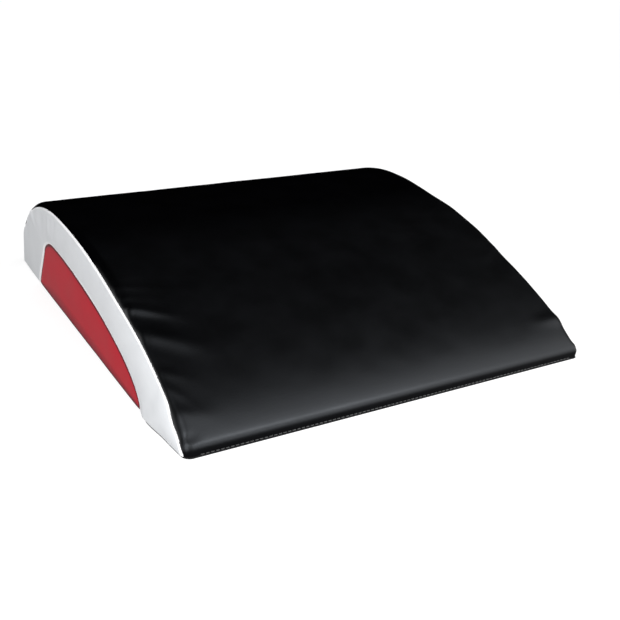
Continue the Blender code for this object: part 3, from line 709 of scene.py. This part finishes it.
def cover_lift(points, s, away):
    """How far the cover stands out: unevenness, wrinkles, right shoulder, dimple and puckers."""
    x, y, z = points[..., 0], points[..., 1] + DEPTH / 2, points[..., 2]
    crown = smooth(0.012, 0.03, s) * smooth(TOTAL - 0.03, TOTAL - 0.05, s)
    lift = sum(height * ripple(points, size, seed) * crown for height, size, seed in UNEVEN)
    for start, length, slant, height, half in WRINKLES:
        for side, share in ((-1, 1.0), (1, RIGHT_SHARE)):
            from_seam = WIDTH / 2 - side * x
            off = (y - start - slant * from_seam) / (half * (1 + WRINKLE_SPREAD * from_seam))
            ridge = (np.exp(-off ** 2) - VALLEY_BEHIND * np.exp(-(off - VALLEY_AT) ** 2)
                     - VALLEY_BEFORE * np.exp(-(off + VALLEY_AT) ** 2))
            fade = smooth(length * 1.25, length * 0.25, from_seam) * smooth(0.001, 0.008, away)
            lift += share * height * ridge * fade * (z > 0.004)
    lift -= DIMPLE_DEPTH * np.exp(-((x - DIMPLE_AT[0]) / DIMPLE_HALF[0]) ** 2
                                  - ((s - DIMPLE_AT[1]) / DIMPLE_HALF[1]) ** 2)
    lift += SWELL * smooth(*SWELL_SIDE, x) * smooth(*SWELL_FRONT, y) * smooth(*SWELL_REAR, y)
    lift += BUMP * smooth(*BUMP_SIDE, x) * np.exp(-((y - BUMP_AT) / BUMP_HALF) ** 2)
    wave = np.cos(2 * np.pi * x / STITCH_PITCH)
    return lift + PUCKER * (wave * np.exp(-((s - PUCKER_AT) / PUCKER_HALF) ** 2))


def cover_marks(y, s, turn):
    """How dull the cover is: fully on shoulders and crest, not at all on front and back."""
    marks = smooth(1.9, 1.2, turn) * smooth(0.10, 0.18, s)
    marks = np.maximum(marks, 0.85 * smooth(0.0066, 0.0036, s))
    return np.maximum(marks, smooth(0.13, 0.20, y)) * smooth(0.365, 0.300, y)


def make_cover():
    stops, slot_row = row_stops()
    points, normals, away, radius, slot_columns = cover_grid(stops)
    s = np.repeat(stops[:, None], points.shape[1], 1)
    marks = cover_marks(points[..., 1] + DEPTH / 2, s, away / radius[:, None])
    raised = cover_lift(points, s, away) - cover_depth(points[..., 0], s, away)
    points = settle(points + normals * raised[..., None])
    keep = np.ones((points.shape[0] - 1, points.shape[1] - 1), bool)
    keep[slot_row:, slot_columns] = False
    piece = add_sheet("cover_skin", points, normals, BLACK, keep, marks=marks)
    dress(piece, "black_cover", "top_cover", fill=1.0)


# ---- Side panels

def inset_line(share):
    """Edge of the red inset at shares of its length, from tip over top to back."""
    scale = np.array((DEPTH, CREST_HEIGHT))
    tip = np.array((INSET_TIP_SHARE * DEPTH, FLOOR_TOP))
    rise, pull, crest = (scale * np.array(share) for share in (
        INSET_RISE_SHARES, INSET_CREST_PULL_SHARES, INSET_CREST_SHARES))
    corner = [scale * np.array(p) for p in INSET_CORNER_SHARES]
    foot = np.array((INSET_BACK_SHARE * DEPTH, FLOOR_TOP))
    front = curve(tip, rise, pull, crest, 200)
    turn = curve(crest, *corner, 60)
    back = corner[-1] + (foot - corner[-1]) * np.linspace(0.0, 1.0, 60)[:, None]
    line = np.concatenate([front, turn, back])
    along = lengths(line)
    return sample(line, along, share * along[-1])


def side_stops():
    """Distances along the side view of a panel's rows, closer near the floor."""
    stops = spaced(0.0, 0.0016, 0.0004) + spaced(0.0016, 0.02, 0.0012)
    stops += spaced(0.02, TOTAL - 0.02, 0.0022) + spaced(TOTAL - 0.02, TOTAL - 0.0016, 0.0012)
    return np.array(stops + spaced(TOTAL - 0.0016, TOTAL, 0.0004) + [TOTAL])


def to_floor(flat):
    """Side fabric drawn down over the edge of the base."""
    y, z = flat[..., 0], flat[..., 1]
    foot = HEM_FRONT + (HEM_FOOT - HEM_FRONT) * smooth(*HEM_CHANGE, y)
    return np.stack([y, z - (FLOOR_TOP - foot) * smooth(0.006, FLOOR_TOP, z)], -1)


def on_side(side, flat, sunk):
    """Points and outward normals of a side face at (y, z), sunk below its plain face."""
    y, z = flat[..., 0], flat[..., 1]
    step = 0.0005
    slope_y = (face_width(y + step, z) - face_width(y - step, z)) / (2 * step)
    slope_z = (face_width(y, z + step) - face_width(y, z - step)) / (2 * step)
    normals = np.stack([np.full_like(y, side), -slope_y, -slope_z], -1)
    normals /= np.linalg.norm(normals, axis=-1, keepdims=True)
    points = np.stack([side * face_width(y, z), y - DEPTH / 2, z], -1)
    return points - normals * sunk[..., None], normals


def soft_crease(flat, start, end, height, half):
    """Ridge along a straight line of a side face, tapered to its ends."""
    a, b = np.array(start), np.array(end)
    run = b - a
    length = np.linalg.norm(run)
    run = run / length
    t = ((flat - a) @ run) / length
    off = (flat - a) @ np.array((-run[1], run[0]))
    fade = smooth(-0.15, 0.25, t) * smooth(1.15, 0.75, t)
    return height * np.exp(-(off / half) ** 2) * fade


def make_panel(side, suffix):
    """Pale panel: an arched band from the cover's seam in to the inset."""
    stops = side_stops()
    share = stops / TOTAL
    upper, lower = past_seam(stops, CLEARANCE)[0], inset_line(share)
    wide = np.linalg.norm(lower - upper, axis=1)
    top_steps = PANEL_ROLL * np.array(EDGE_STEPS)
    low_steps = INSET_ROLL * np.array(EDGE_STEPS)
    across = []
    for length in wide:
        inner = np.linspace(top_steps[-1], length - low_steps[-1], 16)[1:-1]
        across.append(np.concatenate([top_steps, inner, length - low_steps[::-1]]) / length)
    across = np.array(across)
    flat = upper[:, None] + (lower - upper)[:, None] * across[..., None]
    from_top, from_low = across * wide[:, None], (1 - across) * wide[:, None]
    depth = SEAM_DEPTH * (1 - 0.7 * smooth(*BACK_TUCK_SHARES, share))[:, None]
    sunk = rolled(from_top, depth, PANEL_ROLL) + rolled(from_low, RED_SUNK, INSET_ROLL)
    sunk += rolled(flat[..., 1] - FLOOR_TOP, FOOT_DEPTH, SIDE_FOOT_ROLL)
    sunk -= SIDE_SWELL * np.sin(np.pi * across) ** 0.7 * smooth(0.0, 0.010, flat[..., 1])
    for crease in CREASES:
        sunk -= soft_crease(flat, *crease)
    points, normals = on_side(side, to_floor(flat), sunk)
    points += normals * (0.00015 * ripple(points, 0.020, 3 + side))[..., None]
    # Painted highlight: lighter along the rolled edge by the black seam, more so towards the
    # front, and along the rim of the red inset.
    marks = smooth(0.0022, 0.0014, from_top) * (0.35 + 0.65 * smooth(0.285, 0.225, flat[..., 0]))
    marks = np.maximum(marks, smooth(0.0026, 0.0018, from_low))
    piece = add_sheet("side_band_" + suffix, settle(points), normals, WHITE, marks=marks)
    dress(piece, "pale_cover", "side_panel_" + suffix, fill=1.0)


def make_inset(side, suffix):
    """Red inset: a sheet from its arched rim down to the floor, drawn in by a clearance."""
    share = np.linspace(0.0, 1.0, 150)
    rim = inset_line(share)
    middle = np.array(((rim[0, 0] + rim[-1, 0]) / 2, FLOOR_TOP))
    foot = rim[0] + (rim[-1] - rim[0]) * share[:, None]
    rim = rim + (middle - rim) * (CLEARANCE / np.linalg.norm(middle - rim, axis=1))[:, None]
    reach = np.maximum(np.linalg.norm(middle - foot, axis=1), CLEARANCE)
    foot = foot + (middle - foot) * (CLEARANCE / reach)[:, None]
    wide = np.maximum(np.linalg.norm(foot - rim, axis=1), 0.000001)[:, None]
    near = np.minimum(np.array([[0.0, 0.0003, 0.0007, 0.0011, 0.0016, 0.0024]]) / wide, 0.3)
    low = 1 - np.minimum(np.array([[0.0020, 0.0014, 0.0008, 0.0004, 0.0]]) / wide, 0.3)
    inner = np.linspace(0.0, 1.0, 20)[None, 1:-4]
    t = np.concatenate([near, near[:, -1:] + (low[:, :1] - near[:, -1:]) * inner, low], 1)
    flat = rim[:, None] + (foot - rim)[:, None] * t[..., None]
    from_rim = t * wide
    sunk = RED_SUNK - SIDE_SWELL * (1 - np.exp(-from_rim / INSET_SWELL_RUN))
    sunk += rolled(flat[..., 1] - FLOOR_TOP, INSET_FOOT_DEPTH, SIDE_FOOT_ROLL)
    points, normals = on_side(side, to_floor(flat), sunk)
    points += normals * (0.00012 * ripple(points, 0.025, 8 + side))[..., None]
    # Painted shade: darker along the rim, where the red lies below the pale fabric; the same dark
    # band runs along its foot by the floor.
    marks = smooth(0.0028, 0.0014, np.minimum(from_rim, flat[..., 1] - FLOOR_TOP))
    piece = add_sheet("red_inset_" + suffix, points, normals, RED, marks=marks)
    dress(piece, "red_cover", "side_inset_" + suffix, fill=1.0)


# ---- Base, rear strip and foam

def base_ring(inset, rows):
    """Grid of the base's outline, drawn in by inset, with rounded corners."""
    columns = 60
    y = FACE_RECESS + inset + (DEPTH - FACE_RECESS - 2 * inset) * rows
    flat = np.zeros_like(y)
    from_front, from_back = y - FACE_RECESS - inset, DEPTH - inset - y
    tuck = BASE_FRONT_TUCK + (BASE_TUCK - BASE_FRONT_TUCK) * smooth(*HEM_CHANGE, y)
    tuck += BACK_DRAW * smooth(*BACK_DRAW_RUN, y) - foot_bulge(y, flat)
    ends = [half_width(y, flat) - inset - rounded(turn, from_front)
            - rounded(BACK_SHOULDER, from_back) - tuck for turn in (FRONT_TURN, RIGHT_TURN)]
    t = np.linspace(0.0, 1.0, columns)[None]
    x = -ends[0][:, None] * (1 - t) + ends[1][:, None] * t
    return x, np.repeat(y[:, None], columns, 1)


def make_base():
    near = np.array([0.0, 0.0003, 0.001, 0.002, 0.0035, 0.005, 0.0075])
    far = 1 - np.array([0.0135, 0.010, 0.007, 0.004, 0.002, 0.0008, 0.0])
    rows = np.concatenate([near, np.linspace(0.01, 0.98, 90), far])
    grids = []
    for inset, z in ((0.0003, BASE_THICKNESS), (0.0, BASE_THICKNESS / 2), (0.0003, 0.0)):
        x, y = base_ring(inset, rows)
        grids.append(np.stack([x, y - DEPTH / 2, np.full_like(x, z)], -1))
    top, middle, under = grids
    count, columns = top.shape[:2]
    size = count * columns
    index = np.arange(size).reshape(count, columns)
    cells = quads(index).reshape(-1, 4)
    loop = np.concatenate([index[0, :], index[1:, -1], index[-1, -2::-1], index[-2:0:-1, 0]])
    ahead = np.roll(loop, -1)
    ring = size * 2 + np.arange(len(loop))
    ring_ahead = np.roll(ring, -1)
    faces = np.concatenate([cells, size + cells[:, ::-1],
                            np.stack([ahead, loop, ring, ring_ahead], -1),
                            np.stack([ring_ahead, ring, size + loop, size + ahead], -1)])
    vertices = np.concatenate([top.reshape(-1, 3), under.reshape(-1, 3),
                               middle.reshape(-1, 3)[loop]])
    piece = add_mesh("base_cloth", settle(vertices), faces.tolist(), base_material(), angle=50)
    dress(piece, "base_fabric", "base_panel")


def on_wall(along, up, out):
    """Point of the back wall, along to the left, up it and out of it."""
    return np.stack([-along, DEPTH / 2 - up * LEAN_SIN + out * LEAN_COS,
                     up * LEAN_COS + out * LEAN_SIN], -1)


WALL_OUT = np.array((0.0, LEAN_COS, LEAN_SIN))


def make_rear_strip():
    reach = SLOT_HALF_LENGTH - CLEARANCE
    low, high = WALL_FOOT, ZIP_RISE - SLOT_HALF_WIDTH
    ends = np.array([0.0, 0.0003, 0.0007, 0.0012, 0.0018])
    along = np.concatenate([-reach + ends, np.linspace(-reach + 0.003, reach - 0.003, 110),
                            reach - ends[::-1]])
    up = np.concatenate([low + ends, np.linspace(low + 0.0026, high - 0.0026, 4),
                         high - ends[::-1]])
    along, up = np.meshgrid(along, up)
    from_edge = np.minimum(reach - np.abs(along), np.minimum(up - low, high - up))
    points = on_wall(along, up, -rolled(from_edge, STRIP_DEPTH, STRIP_ROLL))
    normals = np.broadcast_to(WALL_OUT, points.shape)
    dress(add_sheet("rear_strip_skin", points, normals, BLACK), "black_cover", "rear_strip")


def draw_in(bm):
    """Draw a block in a little, by an uneven amount."""
    bm.normal_update()
    for vert in bm.verts:
        vert.co -= vert.normal * (FOAM_INSET + FOAM_UNEVEN * noise.noise(vert.co * 60))


def make_foam():
    """Block of cut foam, from its solid, with softened edges."""
    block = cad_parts["foam_core"].data.copy()
    piece = add_object("foam_block", block)
    block.materials.clear()
    block.materials.append(foam_material())
    remesh = piece.modifiers.new("remesh", "REMESH")
    remesh.mode = "VOXEL"
    remesh.voxel_size = FOAM_VOXEL
    graph = bpy.context.evaluated_depsgraph_get()
    mesh = bpy.data.meshes.new_from_object(piece.evaluated_get(graph))
    piece.modifiers.clear()
    piece.data = mesh
    mesh.shade_smooth()
    edit(mesh, draw_in)
    places = settle(np.array([v.co for v in mesh.vertices]))
    mesh.vertices.foreach_set("co", places.astype(np.float32).ravel())
    dress(piece, "foam", "foam_core", fill=1.0)


# ---- Thread

def add_threads(name, centres, runs, outs, material, slot, node):
    """Row of stitches, each a thread that dips into the cloth at both ends."""
    places = np.array([-0.5, -0.46, -0.38, -0.25, 0.0, 0.25, 0.38, 0.46, 0.5])
    heights = np.array([-0.0002, 0.00004, 0.00018, 0.00024, 0.00026, 0.00024, 0.00018, 0.00004,
                        -0.0002])
    girths = np.array([0.45, 0.75, 0.92, 1.0, 1.0, 1.0, 0.92, 0.75, 0.45])
    turns = np.arange(THREAD_SIDES) / THREAD_SIDES * 2 * np.pi
    radius = STITCH_WIDTH / 2
    runs, outs = (np.broadcast_to(values, centres.shape) for values in (runs, outs))
    vertices, faces = [], []
    for centre, run, out in zip(centres, runs, outs):
        side = np.cross(run, out)
        first = len(vertices)
        for place, height, girth in zip(places, heights, girths):
            middle = centre + run * STITCH_LENGTH * place + out * height
            for turn in turns:
                vertices.append(middle + side * (radius * girth * math.cos(turn))
                                + out * (radius * THREAD_FLATNESS * girth * math.sin(turn)))
        for ring in range(len(places) - 1):
            a = first + ring * THREAD_SIDES
            for j in range(THREAD_SIDES):
                k = (j + 1) % THREAD_SIDES
                faces.append([a + j, a + k, a + THREAD_SIDES + k, a + THREAD_SIDES + j])
        last = first + (len(places) - 1) * THREAD_SIDES
        faces.append([first + j for j in range(THREAD_SIDES - 1, -1, -1)])
        faces.append([last + j for j in range(THREAD_SIDES)])
    piece = add_mesh(name, np.array(vertices), faces, material)
    edit(piece.data, lambda bm: bmesh.ops.recalc_face_normals(bm, faces=bm.faces))
    dress(piece, slot, node)


def stitch_places(reach):
    """Middles of the stitches of a straight row."""
    count = int(2 * reach / STITCH_PITCH)
    return (np.arange(count) - (count - 1) / 2) * STITCH_PITCH


def make_threads():
    x = stitch_places(float(half_width(0.0, 0.0)) - FRONT_STITCH_MARGIN)
    height = FLOOR_TOP + FACE_BAND / 2
    centres = np.stack([x, np.full_like(x, FACE_RECESS - DEPTH / 2 - STITCH_LIFT),
                        np.full_like(x, height)], 1)
    add_threads("front_stitches", forward(centres), (1.0, 0.0, 0.0), (0.0, -1.0, 0.0),
                GREY_THREAD, "grey_thread", "front_topstitch")

    x = stitch_places(SLOT_HALF_LENGTH - ZIP_STITCH_SETBACK)
    for side, name in ((1, "upper"), (-1, "lower")):
        up = ZIP_RISE + side * (SLOT_HALF_WIDTH + ZIP_STITCH_SETBACK)
        centres = on_wall(x, np.full_like(x, up), np.full_like(x, STITCH_LIFT))
        add_threads("zip_stitches_" + name, centres, (-1.0, 0.0, 0.0), WALL_OUT,
                    DARK_THREAD, "black_thread", "zip_stitch_" + name)

    line = past_seam(np.linspace(0.0, TOTAL, 2000), -STITCH_WIDTH / 2)[0]
    along = lengths(line)
    count = int(SIDE_STITCH_RUN / STITCH_PITCH)
    at = SIDE_STITCH_START + (np.arange(count) + 0.5) * STITCH_PITCH
    flat = sample(line, along, at)
    run = sample(line, along, at + 0.001) - flat
    run /= np.linalg.norm(run, axis=1)[:, None]
    runs = np.stack([np.zeros(count), run[:, 0], run[:, 1]], 1)
    for side, suffix in ((-1, "left"), (1, "right")):
        points, normals = on_side(side, flat, np.full(count, SIDE_STITCH_SUNK))
        add_threads("seam_stitches_" + suffix, settle(points), runs, normals, DARK_THREAD,
                    "black_thread", "side_stitch_" + suffix)


# ---- Zip

def make_tapes():
    reach = SLOT_HALF_LENGTH + TAPE_TAIL
    columns = 120
    t = np.array([0.0, 0.02, 0.05, 0.12, 0.3, 0.6, 0.9, 0.98, 1.0])
    bead = np.array([-0.0002, 0.0, 0.0, 0.0, 0.0, 0.0, 0.0, 0.0, -0.0001])
    along, across = np.meshgrid(np.linspace(-reach, reach, columns), t)
    out = TAPE_OUTER + np.repeat(bead[:, None], columns, 1)
    for side, name in ((1, "upper"), (-1, "lower")):
        near = ZIP_RISE + side * (TOOTH_REACH + CLEARANCE)
        points = on_wall(along, near + side * TAPE_WIDTH * across, out)
        normals = np.broadcast_to(WALL_OUT, points.shape)
        piece = add_sheet("woven_tape_" + name, points, normals, TAPE, hem=TAPE_THICKNESS - 0.0002)
        dress(piece, "zip_tape", "zip_tape_" + name)


def bevelled(node, name, material, slot, width, body="mat"):
    """Finer copy of a hard piece, with its edges rounded."""
    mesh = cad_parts[node].data.copy()
    mesh.materials.clear()
    mesh.materials.append(material)

    def round_edges(bm):
        bmesh.ops.remove_doubles(bm, verts=bm.verts, dist=0.000002)
        bmesh.ops.dissolve_limit(bm, angle_limit=math.radians(2), verts=bm.verts, edges=bm.edges)
        sharp = [edge for edge in bm.edges
                 if len(edge.link_faces) == 2 and edge.calc_face_angle(0.0) > math.radians(25)]
        bmesh.ops.bevel(bm, geom=sharp, offset=width, segments=2, profile=0.6, affect="EDGES",
                        clamp_overlap=True)

    edit(mesh, round_edges)
    mesh.shade_smooth()
    mesh.set_sharp_from_angle(angle=math.radians(50))
    dress(add_object(name, mesh), slot, node, body=body)


def make_zip():
    make_tapes()
    for name in ("upper", "lower"):
        bevelled("zip_teeth_" + name, "moulded_teeth_" + name, TEETH, "zip_teeth", 0.00012)
        bevelled("zip_top_stop_" + name, "stop_" + name, METAL, "zip_metal", 0.00025)
    bevelled("zip_bottom_stop", "stop_end", METAL, "zip_metal", 0.00030)
    bevelled("zip_slider", "slider_body", METAL, "zip_metal", 0.00018, body="slider")
    bevelled("zip_pull", "pull_tab", METAL, "zip_metal", 0.00020, body="pull")


# ---- Stage, camera and light

CAMERA_PLACE = (-0.3285, -0.5977, 0.2822)
CAMERA_YAW = math.radians(31.415)
CAMERA_PITCH = math.radians(22.755)
CAMERA_ROLL = math.radians(2.5)
CAMERA_FOCUS = 900 / 620
SENSOR_WIDTH = 36.0


def make_camera():
    camera = add_object("camera", bpy.data.cameras.new("camera"))
    camera.data.sensor_width = SENSOR_WIDTH
    camera.data.lens = SENSOR_WIDTH * CAMERA_FOCUS
    camera.data.clip_start = 0.01
    ahead = Vector((math.sin(CAMERA_YAW) * math.cos(CAMERA_PITCH),
                    math.cos(CAMERA_YAW) * math.cos(CAMERA_PITCH), -math.sin(CAMERA_PITCH)))
    right = Vector((math.cos(CAMERA_YAW), -math.sin(CAMERA_YAW), 0.0))
    up = right.cross(ahead)
    turned_right = right * math.cos(CAMERA_ROLL) + up * math.sin(CAMERA_ROLL)
    turned_up = up * math.cos(CAMERA_ROLL) - right * math.sin(CAMERA_ROLL)
    turn = Matrix((turned_right, turned_up, -ahead)).transposed().to_4x4()
    camera.matrix_world = Matrix.Translation(CAMERA_PLACE) @ turn
    bpy.context.scene.camera = camera


FULL_WHITE = (1.0, 1.0, 1.0, 1.0)
FLOOR_DROP = 0.0002
FLOOR_TONE = (0.30, 0.30, 0.30, 1.0)
FLOOR_TOP_UP = 0.78


def make_floor():
    """Big white floor that keeps a soft shadow of the mat."""
    mesh = bpy.data.meshes.new("floor")
    edit(mesh, lambda bm: bmesh.ops.create_grid(bm, x_segments=8, y_segments=8, size=30.0))
    floor = add_object("floor", mesh)
    floor.location.z = -FLOOR_DROP
    material = bpy.data.materials.new("floor")
    material.use_nodes = True
    tree = material.node_tree
    tree.nodes.clear()
    plain = add_node(tree, "ShaderNodeBsdfDiffuse", {"Color": FLOOR_TONE})
    top_up = add_node(tree, "ShaderNodeEmission", {"Color": FULL_WHITE, "Strength": FLOOR_TOP_UP})
    none = add_node(tree, "ShaderNodeEmission", {"Strength": 0.0})
    path = add_node(tree, "ShaderNodeLightPath").outputs
    seen = combine(tree, "MAXIMUM", path["Is Camera Ray"], path["Is Glossy Ray"])
    seen = combine(tree, "MAXIMUM", seen, path["Is Transmission Ray"])
    glow = mix_shaders(tree, seen, none.outputs[0], top_up.outputs[0])
    total = add_node(tree, "ShaderNodeAddShader", {0: plain.outputs[0], 1: glow})
    add_node(tree, "ShaderNodeOutputMaterial", {"Surface": total.outputs[0]})
    mesh.materials.append(material)


# Light from all round: its level in front, where it ends and how much is left behind, how much
# further back it reaches on the left, its share by x, and the top of the white backdrop
SKY_LEVEL = 3.2
SKY_EDGE = (-0.12, -0.26)
SKY_BEHIND = 0.008
SKY_LEFT = 0.30
SKY_LEFT_RUN = (-0.4, -0.65)
SKY_SIDES = ((-1.0, 0.47), (-0.1, 0.47), (0.32, 1.3), (0.55, 1.0), (1.0, 1.1))
BACKDROP_TOP = (0.08, 0.04)


def make_world():
    """Soft studio: bright in front and dark behind, with a white backdrop near the floor."""
    world = bpy.data.worlds.new("studio")
    bpy.context.scene.world = world
    world.use_nodes = True
    tree = world.node_tree
    tree.nodes.clear()
    place = add_node(tree, "ShaderNodeTexCoord").outputs["Generated"]
    x, y, z = add_node(tree, "ShaderNodeSeparateXYZ", {0: place}).outputs
    shift = map_range(tree, x, *SKY_LEFT_RUN, 0.0, -SKY_LEFT)
    front = map_range(tree, combine(tree, "ADD", y, shift), *SKY_EDGE, SKY_BEHIND, SKY_LEVEL,
                      interpolation_type="SMOOTHSTEP")
    sides = add_node(tree, "ShaderNodeValToRGB", {0: map_range(tree, x, -1.0, 1.0, 0.0, 1.0)})
    peak = max(share for side, share in SKY_SIDES)
    ramp_stops = sides.color_ramp.elements
    while len(ramp_stops) < len(SKY_SIDES):
        ramp_stops.new(0.5)
    for stop, (side, share) in zip(ramp_stops, SKY_SIDES):
        stop.position = (side + 1) / 2
        stop.color = (share / peak, share / peak, share / peak, 1.0)
    across = map_range(tree, sides.outputs["Color"], 0.0, 1.0, 0.0, peak)
    level = combine(tree, "MULTIPLY", front, across)
    path = add_node(tree, "ShaderNodeLightPath").outputs
    gloss = combine(tree, "MAXIMUM", path["Is Glossy Ray"], path["Is Transmission Ray"])
    low = map_range(tree, z, *BACKDROP_TOP, 0.0, 1.0)
    backdrop = combine(tree, "MAXIMUM", level, combine(tree, "MULTIPLY", gloss, low))
    studio = add_node(tree, "ShaderNodeBackground", {"Strength": backdrop})
    white = add_node(tree, "ShaderNodeBackground", {"Color": FULL_WHITE, "Strength": 1.0})
    pick = mix_shaders(tree, path["Is Camera Ray"], studio.outputs[0], white.outputs[0])
    add_node(tree, "ShaderNodeOutputWorld", {"Surface": pick})


# Lamps: (name, place, aim, size, power)
LAMPS = (
    ("key", (-0.62, -0.62, 0.45), (-0.16, -0.05, 0.03), 0.5, 5.9),
    ("front", (0.30, -0.965, 0.47), (-0.05, -0.17, 0.02), 0.5, 6.0),
)


def make_lamps():
    """Soft lamps at the front left and in front of the rolled lower edge."""
    for name, place, aim, size, power in LAMPS:
        data = bpy.data.lights.new(name, "AREA")
        data.size = size
        data.energy = power
        lamp = add_object(name, data)
        lamp.location = place
        ahead = Vector(aim) - Vector(place)
        lamp.rotation_euler = ahead.to_track_quat("-Z", "Y").to_euler()


make_cover()
for side_sign, side_name in ((-1, "left"), (1, "right")):
    make_panel(side_sign, side_name)
    make_inset(side_sign, side_name)
make_base()
make_rear_strip()
make_foam()
make_threads()
make_zip()
make_camera()
make_floor()
make_world()
make_lamps()
bpy.context.scene.view_settings.view_transform = "Standard"
